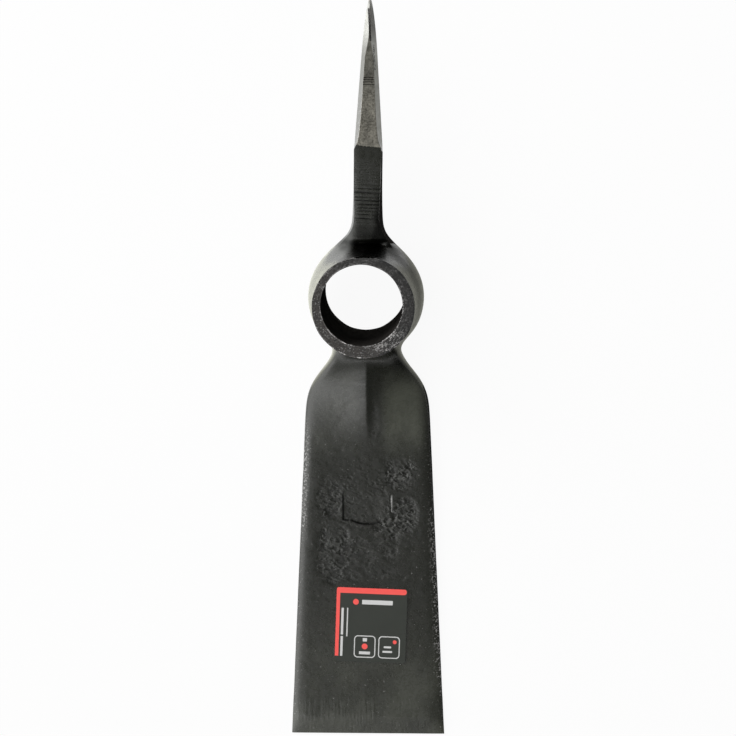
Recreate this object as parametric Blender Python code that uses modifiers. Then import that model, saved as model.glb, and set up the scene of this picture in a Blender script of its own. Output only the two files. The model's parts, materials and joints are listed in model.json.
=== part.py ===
"""Forged hoe and pick head with a round handle eye, and the adhesive label on its blade.

The head lies on the flat back of its blade, the way it lies on a bench:
  +Y runs from the cutting edge through the eye to the pick's point,
  +Z points up, out of the eye's collar, to the side where the user's handle comes out,
  X = 0 is the middle of the blade, and the origin is under the middle of the whole head.

The forging is one piece of steel. Its cage is a ring of spokes for the eye, with the blade and
the pick lofted out of two patches of the ring's outer wall, so that every joint between them
is one smooth fillet of the Subdivision Surface, and creases keep the rims and ground edges crisp.
"""

import math

import bmesh
import bpy
import numpy as np
from mathutils import Matrix, Vector

MM = 0.001

# The eye: a short tapered tube that the handle drops through and jams in
GRIP_ANGLE = math.radians(80)      # between the blade and the handle, on the user's side
EYE_LENGTH = 48 * MM               # along the handle, from the back rim to the collar's mouth
MOUTH_BORE_RADIUS = 20.5 * MM      # the bore at the collar, where the handle comes out
BACK_BORE_RADIUS = 20.7 * MM       # the bore at the back, where the handle's swell jams
BORE_DRIFT = (-0.9 * MM, 1.1 * MM) # the punch ran off centre, to the left and to the pick
COLLAR_WALL = 5.3 * MM             # wall at the mouth
BACK_WALL = 6.4 * MM               # wall at the back rim
BELLY_RADIUS = 29.7 * MM           # the eye's fullest radius, low on its outer wall
COLLAR_HEIGHT = 14 * MM            # the straight part of the collar under the mouth
# Up the wall from the back rim to the collar's foot, and out from the collar to the belly,
# both as shares
BELLY_PROFILE = ((1.0, 0.12), (0.66, 0.80), (0.33, 1.0))

# The blade
EYE_TO_EDGE = 226.5 * MM           # from the middle of the eye to the cutting edge
EDGE_WIDTH = 79.8 * MM             # at the cutting edge
SHOULDER_WIDTH = 64.8 * MM         # where the sides begin, under the rounded shoulders
SIDE_LENGTH = 171 * MM             # from the cutting edge up to the shoulders
SHOULDER_RADIUS = 30 * MM
NECK_WIDTH = 29.5 * MM             # of the neck's root on the eye, before its fillets
NECK_FILLET = 8 * MM               # from the eye's wall to the neck's first section
PLATE_AT_SHOULDER = 6.0 * MM       # plate thickness under the shoulders
PLATE_AT_BEVEL = 3.2 * MM          # plate thickness where the cutting bevel starts
BEVEL_LENGTH = 9 * MM
EDGE_THICKNESS = 1.0 * MM
SIDE_ROUNDING = 2.2 * MM           # how far the plate's faces stop short of its sides
RIB_REACH = 148 * MM               # from the cutting edge to where the neck's rib has run out
# The rib's height halfway to the blade's side, as shares of its height in the middle
FLANK_AT_RUN_OUT = 0.30
FLANK_AT_EYE = 0.85

# The pick
EYE_TO_TIP = 151.5 * MM            # from the middle of the eye to the pick's point
PICK_WIDTH = 14.6 * MM             # across the painted bar
PICK_FACE_WIDTH = 14.2 * MM        # of the bar's front face, between its rounded corners
PICK_ROOT_WIDTH = 30 * MM          # of the bar's flared root on the eye
FLARE_NEAR = 5 * MM                # from the eye's wall to the flare's first section
FLARE_NEAR_WIDTH = 18.4 * MM
FLARE_FAR = 14 * MM                # from the eye's wall to the flare's last section
FLARE_FAR_WIDTH = 16.8 * MM
FLARE_FACE_WIDTH = 12.6 * MM       # of the bar's front face in the flare
PLAIN_BAR_SHARE = 0.62             # where the flare has run out, from the eye to the paint line
PICK_FACE_HEIGHT = 34 * MM         # of the bar's front face above the bench, at the eye
TIP_HEIGHT = 31 * MM               # of the point above the bench
TIP_SIZE = 1.4 * MM                # the blunt end of the point
POINT_LENGTH = 6 * MM              # last stretch, ground over more steeply
POINT_WIDTH = 4.1 * MM             # where that stretch starts
GROUND_LENGTH = 75 * MM            # bare steel, ground back from the point
GROUND_FACET = 9.0 * MM            # width of the ground front facet where the paint stops
GROUND_START = 2.2 * MM            # run-out of the grinding wheel at the paint
FACET_END = 28 * MM                # from the point to where the front facet closes in
FACET_END_WIDTH = 4.5 * MM         # of the front facet there
FACET_CORNER = 4 * MM              # how far its corners are rounded over
RIDGE_LENGTH = 20 * MM             # where the front facet has run out to a ridge
RIDGE_WIDTH = 7.1 * MM             # of the pick there
RIDGE_FLAT = 0.4 * MM              # the ridge's own width, from the ridge to the point
PICK_OFFSET_AT_EYE = 0.3 * MM      # the bar was drawn out a little to the right
PICK_OFFSET_AT_TIP = 2.7 * MM

# The label
LABEL_WIDTH = 36.9 * MM
LABEL_HEIGHT = 38.7 * MM
LABEL_THICKNESS = 0.25 * MM
LABEL_CORNER = 1.0 * MM
LABEL_ABOVE_EDGE = 57.2 * MM       # from the cutting edge to the label's middle
LABEL_OFFSET = 1.8 * MM            # right of the blade's middle
LABEL_TURN = math.radians(-2)      # stuck on a little crooked
GLUE_GAP = 0.3 * MM                # between the label and the blade's face

# Places that follow from the sizes
LEAN = math.pi / 2 - GRIP_ANGLE
EYE_AXIS = Vector((0, -math.sin(LEAN), math.cos(LEAN)))
EYE_ACROSS = Vector((0, math.cos(LEAN), math.sin(LEAN)))
BACK_RIM_RADIUS = BACK_BORE_RADIUS + BACK_WALL
COLLAR_RADIUS = MOUTH_BORE_RADIUS + COLLAR_WALL
EYE_MIDDLE_Y = (EYE_TO_EDGE - EYE_TO_TIP) / 2
EDGE_Y = EYE_MIDDLE_Y - EYE_TO_EDGE
TIP_Y = EYE_MIDDLE_Y + EYE_TO_TIP
BACK_RIM_CENTRE = Vector((0, EYE_MIDDLE_Y, BACK_RIM_RADIUS * math.sin(LEAN)))
BACK_RIM_CENTRE.y += EYE_LENGTH / 2 * math.sin(LEAN)

BLADE_SPOKES = 5
PICK_SPOKES = 3
SIDE_STEPS = 5                     # from the blade's last spoke to the pick's first
PAINT_LOOP = 4                     # of the pick's loops, the one where the paint stops
NECK_ANGLE = math.asin(NECK_WIDTH / 2 / BELLY_RADIUS)
PICK_ANGLE = math.asin(PICK_ROOT_WIDTH / 2 / BELLY_RADIUS)
SHARP = 1.0
BAR_CORNER = 0.55
PLATE_CORNER = 0.35
RIDGE_CREASES = (0.8, 0.8, 0.7, 0.6, 0.45)


def through(points, closed=False):
    """Control points of a cubic B-spline that runs through the points."""
    points = np.array(points, dtype=float)
    count = len(points)
    weights = np.eye(count)
    for row in range(count) if closed else range(1, count - 1):
        weights[row, row] = 4 / 6
        weights[row, (row - 1) % count] = 1 / 6
        weights[row, (row + 1) % count] = 1 / 6
    return np.linalg.solve(weights, points)


def blend(low, high, share):
    return low + (high - low) * share


def eye_point(angle, radius, along, drift=(0, 0)):
    """A point of the eye: angle 0 faces the blade, and along is the distance from the back."""
    x = radius * math.sin(angle) + drift[0]
    across = -radius * math.cos(angle) + drift[1]
    return BACK_RIM_CENTRE + Vector((x, 0, 0)) + EYE_ACROSS * across + EYE_AXIS * along


def spoke_angles():
    """Blade columns first, then the right side, the pick columns and the left side."""
    blade = [NECK_ANGLE * share for share in np.linspace(-1, 1, BLADE_SPOKES)]
    pick = [math.pi + PICK_ANGLE * share for share in np.linspace(-1, 1, PICK_SPOKES)]
    step = (pick[0] - blade[-1]) / SIDE_STEPS
    right = [blade[-1] + step * count for count in range(1, SIDE_STEPS)]
    left = [pick[-1] + step * count for count in range(1, SIDE_STEPS)]
    return blade + right + pick + left


def eye_section(angle):
    """Around the wall: bore at the back, bore at the mouth, collar, flare, belly, back rim."""
    collar_foot = EYE_LENGTH - COLLAR_HEIGHT
    wall = [
        eye_point(angle, blend(COLLAR_RADIUS, BELLY_RADIUS, out), collar_foot * up)
        for up, out in BELLY_PROFILE
    ]
    mouth = eye_point(angle, COLLAR_RADIUS, EYE_LENGTH)
    outer = through([mouth] + wall + [eye_point(angle, BACK_RIM_RADIUS, 0)])
    bore = [
        eye_point(angle, BACK_BORE_RADIUS, 0, BORE_DRIFT),
        eye_point(angle, MOUTH_BORE_RADIUS, EYE_LENGTH, BORE_DRIFT),
    ]
    return bore + [Vector(point) for point in outer]


def eye_cage():
    """Cage points of the eye as [spoke][section point]."""
    sections = np.array([eye_section(angle) for angle in spoke_angles()])
    for column in range(sections.shape[1]):
        sections[:, column] = through(sections[:, column], closed=True)
    return sections


def blade_half_width(up):
    """Half the blade's width at a height up: the tapering side, the shoulder's arc, the neck."""
    side = blend(EDGE_WIDTH, SHOULDER_WIDTH, up / SIDE_LENGTH) / 2
    into_arc = min(max(0.0, up - SIDE_LENGTH), SHOULDER_RADIUS)
    arc_drop = SHOULDER_RADIUS - math.sqrt(SHOULDER_RADIUS**2 - into_arc**2)
    return max(side - arc_drop, NECK_WIDTH / 2)


def plate_thickness(up):
    """Thickness of the plain plate, with the cutting bevel below its foot."""
    if up < BEVEL_LENGTH:
        return blend(EDGE_THICKNESS, PLATE_AT_BEVEL, up / BEVEL_LENGTH)
    share = (up - BEVEL_LENGTH) / (SIDE_LENGTH - BEVEL_LENGTH)
    return blend(PLATE_AT_BEVEL, PLATE_AT_SHOULDER, share)


def blade_section(up, neck_up, neck_height):
    """Twelve points round the blade: the face, the right side, the back and the left side."""
    half = blade_half_width(up)
    face = half - SIDE_ROUNDING
    plate = plate_thickness(up)
    reach = max(0.0, (up - RIB_REACH) / (neck_up - RIB_REACH))
    rib = (neck_height - plate) * reach**1.5
    flank = blend(FLANK_AT_RUN_OUT, FLANK_AT_EYE, reach**2)
    foot = reach**4
    columns = ((-face, foot), (-half / 2, flank), (0, 1.0), (half / 2, flank), (face, foot))
    y = EDGE_Y + up
    top = [Vector((x, y, plate + rib * share)) for x, share in columns]
    back = [Vector((x, y, 0)) for x, _ in reversed(columns)]
    side = half + SIDE_ROUNDING / 2
    right = Vector((side, y, top[-1].z / 2))
    left = Vector((-side, y, top[0].z / 2))
    return top + [right] + back + [left]


def pick_section(back_from_tip, width, facet_width, front, back):
    """Eight points round the pick: the front, the right side, the back and the left side."""
    reach = 1 - back_from_tip / EYE_TO_TIP
    middle = blend(PICK_OFFSET_AT_EYE, PICK_OFFSET_AT_TIP, reach)
    y = TIP_Y - back_from_tip
    half = facet_width / 2
    top = [Vector((middle + x, y, front)) for x in (-half, 0, half)]
    low = [Vector((middle + x, y, back)) for x in (half, 0, -half)]
    right = Vector((middle + width / 2, y, (front + back) / 2))
    left = Vector((middle - width / 2, y, (front + back) / 2))
    return top + [right] + low + [left]


def crease_between(edges, first, second, amount):
    """Crease the edge that joins two cage points."""
    edges[frozenset((first.index, second.index))] = amount


def loft(mesh, loops):
    """Skin a row of loops, each with the same number of cage points."""
    for near, far in zip(loops, loops[1:]):
        for place, point in enumerate(near):
            following = (place + 1) % len(near)
            mesh.faces.new((point, near[following], far[following], far[place]))


def add_loop(mesh, points):
    return [mesh.verts.new(point) for point in points]


def blade_loops(mesh, root):
    """The blade, from its root on the eye's wall to the cutting edge."""
    neck_up = root[2].co.y - EDGE_Y
    neck_height = root[2].co.z
    shoulder_tip = neck_up - NECK_FILLET
    stations = [
        shoulder_tip,
        blend(SIDE_LENGTH, shoulder_tip, 0.66),
        blend(SIDE_LENGTH, shoulder_tip, 0.33),
        SIDE_LENGTH,
        blend(SIDE_LENGTH, RIB_REACH, 0.5),
        RIB_REACH,
        blend(RIB_REACH, BEVEL_LENGTH, 0.25),
        blend(RIB_REACH, BEVEL_LENGTH, 0.5),
        blend(RIB_REACH, BEVEL_LENGTH, 0.75),
        BEVEL_LENGTH,
        0,
    ]
    sections = [blade_section(up, neck_up, neck_height) for up in stations]
    return [root] + [add_loop(mesh, section) for section in sections]


def pick_loops(mesh, root):
    """The pick, from its root on the eye's wall to its point."""
    root_back = EYE_TO_TIP - BELLY_RADIUS
    back_at_root = root[5].co.z

    def levels(back_from_tip):
        reach = 1 - back_from_tip / root_back
        front = blend(PICK_FACE_HEIGHT, TIP_HEIGHT + TIP_SIZE / 2, reach)
        low = blend(back_at_root, TIP_HEIGHT - TIP_SIZE / 2, reach)
        return front, low

    def ground(back_from_tip):
        """Back from the tip, the ground pick's width there and its front facet's."""
        along = (back_from_tip - RIDGE_LENGTH) / (GROUND_LENGTH - RIDGE_LENGTH)
        facet_along = (back_from_tip - FACET_END) / (GROUND_LENGTH - FACET_END)
        width = blend(RIDGE_WIDTH, PICK_WIDTH, along)
        return back_from_tip, width, blend(FACET_END_WIDTH, GROUND_FACET, facet_along)

    stations = (
        (root_back - FLARE_NEAR, FLARE_NEAR_WIDTH, FLARE_FACE_WIDTH),
        (root_back - FLARE_FAR, FLARE_FAR_WIDTH, FLARE_FACE_WIDTH),
        (blend(root_back, GROUND_LENGTH, PLAIN_BAR_SHARE), PICK_WIDTH, PICK_FACE_WIDTH),
        (GROUND_LENGTH, PICK_WIDTH, PICK_FACE_WIDTH),
        ground(GROUND_LENGTH - GROUND_START),
        ground(FACET_END + FACET_CORNER),
        ground(FACET_END),
        (RIDGE_LENGTH, RIDGE_WIDTH, RIDGE_FLAT),
        (POINT_LENGTH, POINT_WIDTH, RIDGE_FLAT),
        (0, TIP_SIZE, RIDGE_FLAT),
    )
    sections = [pick_section(at, width, facet, *levels(at)) for at, width, facet in stations]
    return [root] + [add_loop(mesh, section) for section in sections]


def head_mesh():
    """The whole forging as one closed cage with creases."""
    mesh = bmesh.new()
    eye = [add_loop(mesh, section) for section in eye_cage()]
    blade_spokes = range(BLADE_SPOKES)
    pick_start = BLADE_SPOKES + SIDE_STEPS - 1
    pick_spokes = range(pick_start, pick_start + PICK_SPOKES)
    for spoke, section in enumerate(eye):
        following = eye[(spoke + 1) % len(eye)]
        in_arm = spoke in blade_spokes[:-1] or spoke in pick_spokes[:-1]
        for place, point in enumerate(section):
            beside = (place + 1) % len(section)
            if in_arm and place in (4, 5):
                continue
            mesh.faces.new((point, section[beside], following[beside], following[place]))

    blade_columns = [eye[spoke] for spoke in blade_spokes]
    blade_root = [column[4] for column in blade_columns] + [blade_columns[-1][5]]
    blade_root += [column[6] for column in reversed(blade_columns)] + [blade_columns[0][5]]
    pick_columns = [eye[spoke] for spoke in reversed(pick_spokes)]
    pick_root = [column[4] for column in pick_columns] + [pick_columns[-1][5]]
    pick_root += [column[6] for column in reversed(pick_columns)] + [pick_columns[0][5]]

    blade = blade_loops(mesh, blade_root)
    pick = pick_loops(mesh, pick_root)
    loft(mesh, blade)
    loft(mesh, pick)
    edge = blade[-1]
    mesh.faces.new((edge[0], edge[1], edge[9], edge[10], edge[11]))
    mesh.faces.new((edge[1], edge[2], edge[8], edge[9]))
    mesh.faces.new((edge[2], edge[3], edge[7], edge[8]))
    mesh.faces.new((edge[3], edge[4], edge[5], edge[6], edge[7]))
    mesh.faces.new(pick[-1])

    mesh.verts.index_update()
    creases = {}
    for spoke, section in enumerate(eye):
        following = eye[(spoke + 1) % len(eye)]
        for rim in (0, 1, 2, 6):
            crease_between(creases, section[rim], following[rim], SHARP)
    for near, far in zip(blade, blade[1:]):
        for corner in (0, 4, 6, 10):
            crease_between(creases, near[corner], far[corner], PLATE_CORNER)
    for near, far, amount in zip(blade, blade[1:], RIDGE_CREASES):
        crease_between(creases, near[2], far[2], amount)
    for loop, places in ((blade[-1], range(12)), (blade[-2], range(4))):
        for place in places:
            crease_between(creases, loop[place], loop[(place + 1) % 12], SHARP)
    for step, (near, far) in enumerate(zip(pick, pick[1:])):
        ground = step >= PAINT_LOOP
        for corner in (0, 2, 4, 6):
            crease_between(creases, near[corner], far[corner], SHARP if ground else BAR_CORNER)
        for side in (3, 7):
            if ground:
                crease_between(creases, near[side], far[side], SHARP)
    for loop in (pick[PAINT_LOOP], pick[-1]):
        for place, point in enumerate(loop):
            crease_between(creases, point, loop[(place + 1) % len(loop)], SHARP)

    layer = mesh.edges.layers.float.new("crease_edge")
    for edge in mesh.edges:
        key = frozenset(vert.index for vert in edge.verts)
        edge[layer] = creases.get(key, 0.0)
    bmesh.ops.recalc_face_normals(mesh, faces=mesh.faces)
    return mesh


def material(name, colour, roughness, metallic):
    made = bpy.data.materials.new(name)
    made.use_nodes = True
    shader = made.node_tree.nodes["Principled BSDF"]
    shader.inputs["Base Color"].default_value = (*colour, 1)
    shader.inputs["Roughness"].default_value = roughness
    shader.inputs["Metallic"].default_value = metallic
    made.diffuse_color = (*colour, 1)
    return made


def add_object(name, mesh, collection, finish):
    data = bpy.data.meshes.new(name)
    mesh.to_mesh(data)
    mesh.free()
    data.shade_smooth()
    data.materials.append(finish)
    piece = bpy.data.objects.new(name, data)
    collection.objects.link(piece)
    return piece


def build_head(collection):
    lacquer = material("black_lacquer", (0.035, 0.037, 0.038), 0.42, 0.0)
    head = add_object("forged_head", head_mesh(), collection, lacquer)
    smooth = head.modifiers.new("forged_fillets", "SUBSURF")
    smooth.levels = 2
    smooth.render_levels = 2
    return head


def build_label(collection):
    """A thin sheet with rounded corners, parallel to the blade's sloping face."""
    mesh = bmesh.new()
    bmesh.ops.create_cube(mesh, size=1)
    size = (LABEL_WIDTH, LABEL_HEIGHT, LABEL_THICKNESS)
    bmesh.ops.scale(mesh, vec=size, verts=mesh.verts)
    uprights = [edge for edge in mesh.edges if abs(edge.verts[0].co.z - edge.verts[1].co.z) > 0]
    bmesh.ops.bevel(mesh, geom=uprights, offset=LABEL_CORNER, segments=4, affect="EDGES",
                    profile=0.5)
    label = add_object("label", mesh, collection,
                       material("printed_film", (0.045, 0.047, 0.045), 0.5, 0.0))
    label.data.set_sharp_from_angle(angle=math.radians(40))
    rise = (PLATE_AT_SHOULDER - PLATE_AT_BEVEL) / (SIDE_LENGTH - BEVEL_LENGTH)
    slope = math.atan(rise)
    face_height = plate_thickness(LABEL_ABOVE_EDGE)
    above = Vector((0, -math.sin(slope), math.cos(slope))) * (GLUE_GAP + LABEL_THICKNESS / 2)
    place = Vector((LABEL_OFFSET, EDGE_Y + LABEL_ABOVE_EDGE, face_height)) + above
    turn = Matrix.Rotation(slope, 4, "X") @ Matrix.Rotation(LABEL_TURN, 4, "Z")
    label.matrix_world = Matrix.Translation(place) @ turn
    return label


def main():
    for leftover in list(bpy.data.objects):
        bpy.data.objects.remove(leftover, do_unlink=True)
    collection = bpy.data.collections.new("hoe_and_pick_head")
    bpy.context.scene.collection.children.link(collection)
    build_head(collection)
    build_label(collection)


main()
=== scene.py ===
"""Looks of the forged hoe and pick head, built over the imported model."""

import json
import math

import bmesh
import bpy
import numpy as np
from mathutils import Euler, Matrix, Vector


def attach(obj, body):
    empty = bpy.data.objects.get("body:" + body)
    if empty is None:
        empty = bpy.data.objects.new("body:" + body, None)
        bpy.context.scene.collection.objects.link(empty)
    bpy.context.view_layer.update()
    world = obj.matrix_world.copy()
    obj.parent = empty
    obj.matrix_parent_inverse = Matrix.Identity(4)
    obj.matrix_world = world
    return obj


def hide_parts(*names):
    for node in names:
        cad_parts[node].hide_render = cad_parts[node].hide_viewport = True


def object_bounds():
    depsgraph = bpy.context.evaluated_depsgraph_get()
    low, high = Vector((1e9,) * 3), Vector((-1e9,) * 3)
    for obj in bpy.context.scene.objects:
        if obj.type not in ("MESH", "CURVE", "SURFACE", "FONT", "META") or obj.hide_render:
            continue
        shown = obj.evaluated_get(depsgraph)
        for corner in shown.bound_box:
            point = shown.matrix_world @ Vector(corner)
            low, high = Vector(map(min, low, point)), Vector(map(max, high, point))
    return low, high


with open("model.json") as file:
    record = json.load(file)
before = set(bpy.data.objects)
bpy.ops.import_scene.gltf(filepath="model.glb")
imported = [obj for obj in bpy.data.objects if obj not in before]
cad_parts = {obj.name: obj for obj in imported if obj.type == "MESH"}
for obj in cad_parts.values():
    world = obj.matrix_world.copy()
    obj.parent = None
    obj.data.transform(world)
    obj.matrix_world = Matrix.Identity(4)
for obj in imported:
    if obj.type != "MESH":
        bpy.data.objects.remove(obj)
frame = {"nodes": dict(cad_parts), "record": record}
cad_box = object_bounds()

MM = 0.001

# The eye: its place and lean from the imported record, its sizes as the part has them
MOUNTS = {mount["name"]: mount for mount in frame["record"]["mounts"]}
EYE_AXIS = np.array(MOUNTS["collar_face"]["axis"])
EYE_ACROSS = np.array((0, EYE_AXIS[2], -EYE_AXIS[1]))
MOUTH = np.array((0, *MOUNTS["collar_face"]["pos_m"][1:]))
EYE_LENGTH = 48 * MM
BORE_RADIUS = 20.5 * MM
COLLAR_RADIUS = 25.8 * MM
BORE_DRIFT = (-0.9 * MM, 1.1 * MM)

# The blade's face
EDGE_Y = cad_box[0][1]
EDGE_HALF = cad_box[1][0]
SHOULDER_HALF = 32.4 * MM
SIDE_LENGTH = 171 * MM
BEVEL_Y = EDGE_Y + 9 * MM

# Places on the head, read off the photograph
PAINT_END_LEFT = (-5.2 * MM, 115.8 * MM)     # where the paint stops, on the pick's left edge
PAINT_END_RIGHT = (9.1 * MM, 114.2 * MM)
RECESS_MIDDLE = (-0.3 * MM, -69.0 * MM)      # the stamped, nameless panel on the blade
RECESS_SIZE = (24.9 * MM, 15.7 * MM)
RECESS_BOW = 2.1 * MM
RECESS_BOW_HALF = 8.5 * MM
RECESS_DEPTH = 0.5 * MM
NOTCH = (12.3 * MM, -64.2 * MM), (12.5 * MM, -72.5 * MM)     # the short bright line beside it: pressed in, with a painted highlight
TIP_STRIP = (1.9 * MM, 184.7 * MM), (2.9 * MM, 168.5 * MM)   # a dark strip left near the point: painted shade beside the ridge
FACET_DOTS = (4.4 * MM, 166.5 * MM), (5.2 * MM, 153.8 * MM)  # and dark dots along the facet
HOLLOW = (1.8 * MM, 64.0 * MM)               # between the pick's root and the collar: pressed in, and painted black as shade
HOLLOW_HALF = (9.0 * MM, 3.9 * MM)
HOLLOW_DEPTH = 2.5 * MM
DULL_CORNER = (-10.7 * MM, 65.5 * MM)        # left of the hollow, where the pick's root begins: rougher, with some painted shade
# the pick's root face over the hollow, darkened as painted shade
ABOVE_HOLLOW_Y = (60 * MM, 67 * MM)
PICK_SIDE_Y = 66 * MM                        # painted shade on the pick's right side from here: it takes the bore's dull black
SHADE_LOW_Y = 61 * MM                        # painted shade, nearly black, on the right of the pick's root
SHADE_HIGH_Y = 89 * MM
SHADE_EDGE = (2.4 * MM, 70 * MM)             # a place on the border of that shade
COLLAR_RING = (24 * MM, 28.2 * MM)           # painted shade also in a ring round the collar, on its right
SHADED_BELLY_X = (9 * MM, 20 * MM)           # painted shade on the belly's right side, darker towards the right
SHADED_BELLY_Y = (5 * MM, 57 * MM)
SHEEN_ROOT_Y = (62 * MM, 82 * MM)           # painted sheen, grey, on the left of the pick's root
DULLER_FACET_Y = (136 * MM, 150 * MM)        # the bare facet grows duller towards the point
BRIGHTER_SIDE_Y = (155 * MM, 172 * MM)       # and its right side, painted darker than the left as shade, brighter towards the point
BRIGHT_SPOTS_Y = (130 * MM, 150 * MM)        # the painted highlights on its left side thin out
STAMPED_LOW_Y = -111 * MM
STAMPED_HIGH_Y = -30 * MM
STAMPED_HALF = 29 * MM
WRINKLE_PATCHES = (                          # middle, half width and half height, strength
    ((16.5 * MM, -53.5 * MM), (11.0 * MM, 9.0 * MM), 1.0),
    ((-19.0 * MM, -66.0 * MM), (8.0 * MM, 14.0 * MM), 0.8),
    ((-17.0 * MM, -88.0 * MM), (10.0 * MM, 11.0 * MM), 0.8),
    ((19.0 * MM, -74.0 * MM), (8.0 * MM, 11.0 * MM), 1.0),
    ((9.5 * MM, -86.0 * MM), (9.0 * MM, 13.0 * MM), 0.95),
    ((-18.0 * MM, -97.0 * MM), (10.0 * MM, 17.0 * MM), 0.75),
    ((-2.0 * MM, -92.0 * MM), (19.0 * MM, 12.0 * MM), 0.55),
    ((-4.0 * MM, -104.0 * MM), (21.0 * MM, 6.0 * MM), 0.5),
    ((-1.0 * MM, -66.0 * MM), (10.0 * MM, 7.0 * MM), 0.4),
    ((0.0, -77.0 * MM), (29.0 * MM, 34.0 * MM), 0.35),
    ((-14.0 * MM, -16.0 * MM), (6.0 * MM, 11.0 * MM), 0.25),
    ((3.0 * MM, -24.0 * MM), (2.5 * MM, 12.0 * MM), 0.35),
)
FILED_LOW_Y = 76 * MM                        # file marks across the pick's painted face
FILED_DENSE_Y = 93 * MM
FILED_HIGH_Y = 107 * MM
FILE_PITCH = 1.9 * MM
GRIND_LOW_Y = 145.5 * MM                     # coarse grinding marks on the bare facet
GRIND_HIGH_Y = 150.1 * MM
GRIND_PITCH = 1.15 * MM
BURR_CORNER = (12.6 * MM, 13.3 * MM)         # the brightest burrs on the collar's face

# Painted sheen on the lacquer, where the neck's flanks catch light: low, high and soft border, across and
# then up
NECK_SHEEN = ((14 * MM, 24 * MM, 9 * MM), (-30 * MM, -12 * MM, 18 * MM))
LEFT_SHEEN = ((-26 * MM, -7 * MM, 6 * MM), (-36 * MM, -4 * MM, 12 * MM))

# How deep the surface is pressed in
FORGED_DEPTH = 0.12 * MM                     # slow unevenness of the painted surface
PITTED_DEPTH = 0.16 * MM                     # small dents in the blade's face
CREASE_DEPTH = 0.34 * MM                     # between the crests of the wrinkled scale
WRINKLED_DEPTH = 0.2 * MM                    # and slow waves there
NOTCH_DEPTH = 0.3 * MM
GROOVE_DEPTH = 0.45 * MM                     # right of the rib's ridge
FILED_DEPTH = 0.22 * MM
GROUND_DEPTH = 0.12 * MM
SAWN_DEPTH = 0.1 * MM                        # the collar's face

# The label
LABEL_MIDDLE = (1.8 * MM, EDGE_Y + 57.2 * MM)
LABEL_HALF = (18.45 * MM, 19.35 * MM)
LABEL_TURN = math.radians(-2)

# Mesh
RIM_ROUNDING = 0.4 * MM
GROUND_ROUNDING = 0.16 * MM
RIM_ANGLE = math.radians(50)
GROUND_ANGLE = math.radians(24)
BEVEL_LINE_ANGLE = math.radians(8)
BLADE_LOOPS_END = -40 * MM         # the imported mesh's loops lie straight across, up to here
BLADE_STEP = 5.5 * MM
PICK_LOOPS_START = 105 * MM        # and from here on
PICK_STEP = 4 * MM

# Studio, in metres
FLOOR_GAP = 0.2 * MM                         # under the head, with the cards in between
CARD_GAP = 0.1 * MM
CARDS = (                                    # name, corner, opposite corner, glow
    ("blade_card", (0.015, -0.305), (0.315, -0.005), 0.0),
    ("right_belly_card", (0.015, -0.005), (0.315, 0.072), 0.5),
    ("left_belly_card", (-0.315, -0.005), (-0.015, 0.072), 1.7),
)
LAMP_TARGET = (0, 0, 0.02)
CAMERA_PLACE = (0.0481, 0.0260, 1.100)
CAMERA_TURN = (-1.238, 2.497, -0.053)        # degrees
CAMERA_LENS = 103.18                         # millimetres, on a sensor 36 mm wide


def lattice_noise(points, cell, seed):
    """Smooth random values from 0 to 1 on a lattice of cubes."""
    side = 32
    values = np.random.RandomState(seed).rand(side, side, side)
    scaled = points / cell
    base = np.floor(scaled).astype(int)
    part = scaled - base
    part = part * part * (3 - 2 * part)
    total = np.zeros(len(points))
    for dx in (0, 1):
        for dy in (0, 1):
            for dz in (0, 1):
                weight = np.ones(len(points))
                for axis, step in enumerate((dx, dy, dz)):
                    share = part[:, axis]
                    weight *= share if step else 1 - share
                corner = (base + (dx, dy, dz)) % side
                total += weight * values[corner[:, 0], corner[:, 1], corner[:, 2]]
    return total


def fractal(points, cell, octaves, seed):
    """Sum of finer and finer noise, from about -1 to 1."""
    total = np.zeros(len(points))
    amount = 1.0
    reach = 0.0
    for octave in range(octaves):
        total += amount * (lattice_noise(points, cell / 2**octave, seed + octave) * 2 - 1)
        reach += amount
        amount *= 0.5
    return total / reach


def smooth_step(values, low, high):
    share = np.clip((values - low) / (high - low), 0, 1)
    return share * share * (3 - 2 * share)


def between(values, low, high, soft):
    """1 from low to high, fading to 0 over the soft distance outside."""
    return smooth_step(values, low - soft, low) * (1 - smooth_step(values, high, high + soft))


def read_vectors(mesh, what):
    values = np.empty(len(mesh.vertices) * 3, np.float32)
    mesh.vertices.foreach_get(what, values)
    return values.reshape(-1, 3).astype(float)


def applied(piece):
    """The mesh that the piece's modifiers make."""
    graph = bpy.context.evaluated_depsgraph_get()
    return bpy.data.meshes.new_from_object(piece.evaluated_get(graph))


def new_piece(name, mesh):
    piece = bpy.data.objects.new(name, mesh)
    bpy.context.scene.collection.objects.link(piece)
    return piece


def eye_places(points):
    """Distance up from the mouth, and from the collar's and the bore's middle lines."""
    offset = points - MOUTH
    along = offset @ EYE_AXIS
    across = offset @ EYE_ACROSS
    out = np.hypot(points[:, 0], across)
    bore_out = np.hypot(points[:, 0] - BORE_DRIFT[0], across - BORE_DRIFT[1])
    return along, out, bore_out


def edge_rounding(edge):
    """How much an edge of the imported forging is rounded, as a share of RIM_ROUNDING."""
    angle = edge.calc_face_angle(0)
    middle = (edge.verts[0].co + edge.verts[1].co) / 2
    if middle.y > PAINT_END_RIGHT[1]:
        return GROUND_ROUNDING / RIM_ROUNDING if angle > GROUND_ANGLE else 0.0
    if angle > RIM_ANGLE:
        return 1.0
    on_bevel_line = abs(middle.y - BEVEL_Y) < MM / 2 and middle.z > MM
    return 1.0 if on_bevel_line and angle > BEVEL_LINE_ANGLE else 0.0


def on_ridge(edge):
    """The rib's ridge, down the middle of the neck's face."""
    return all(abs(vert.co.x) < MM / 3 and vert.co.z > 5 * MM for vert in edge.verts)


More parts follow.
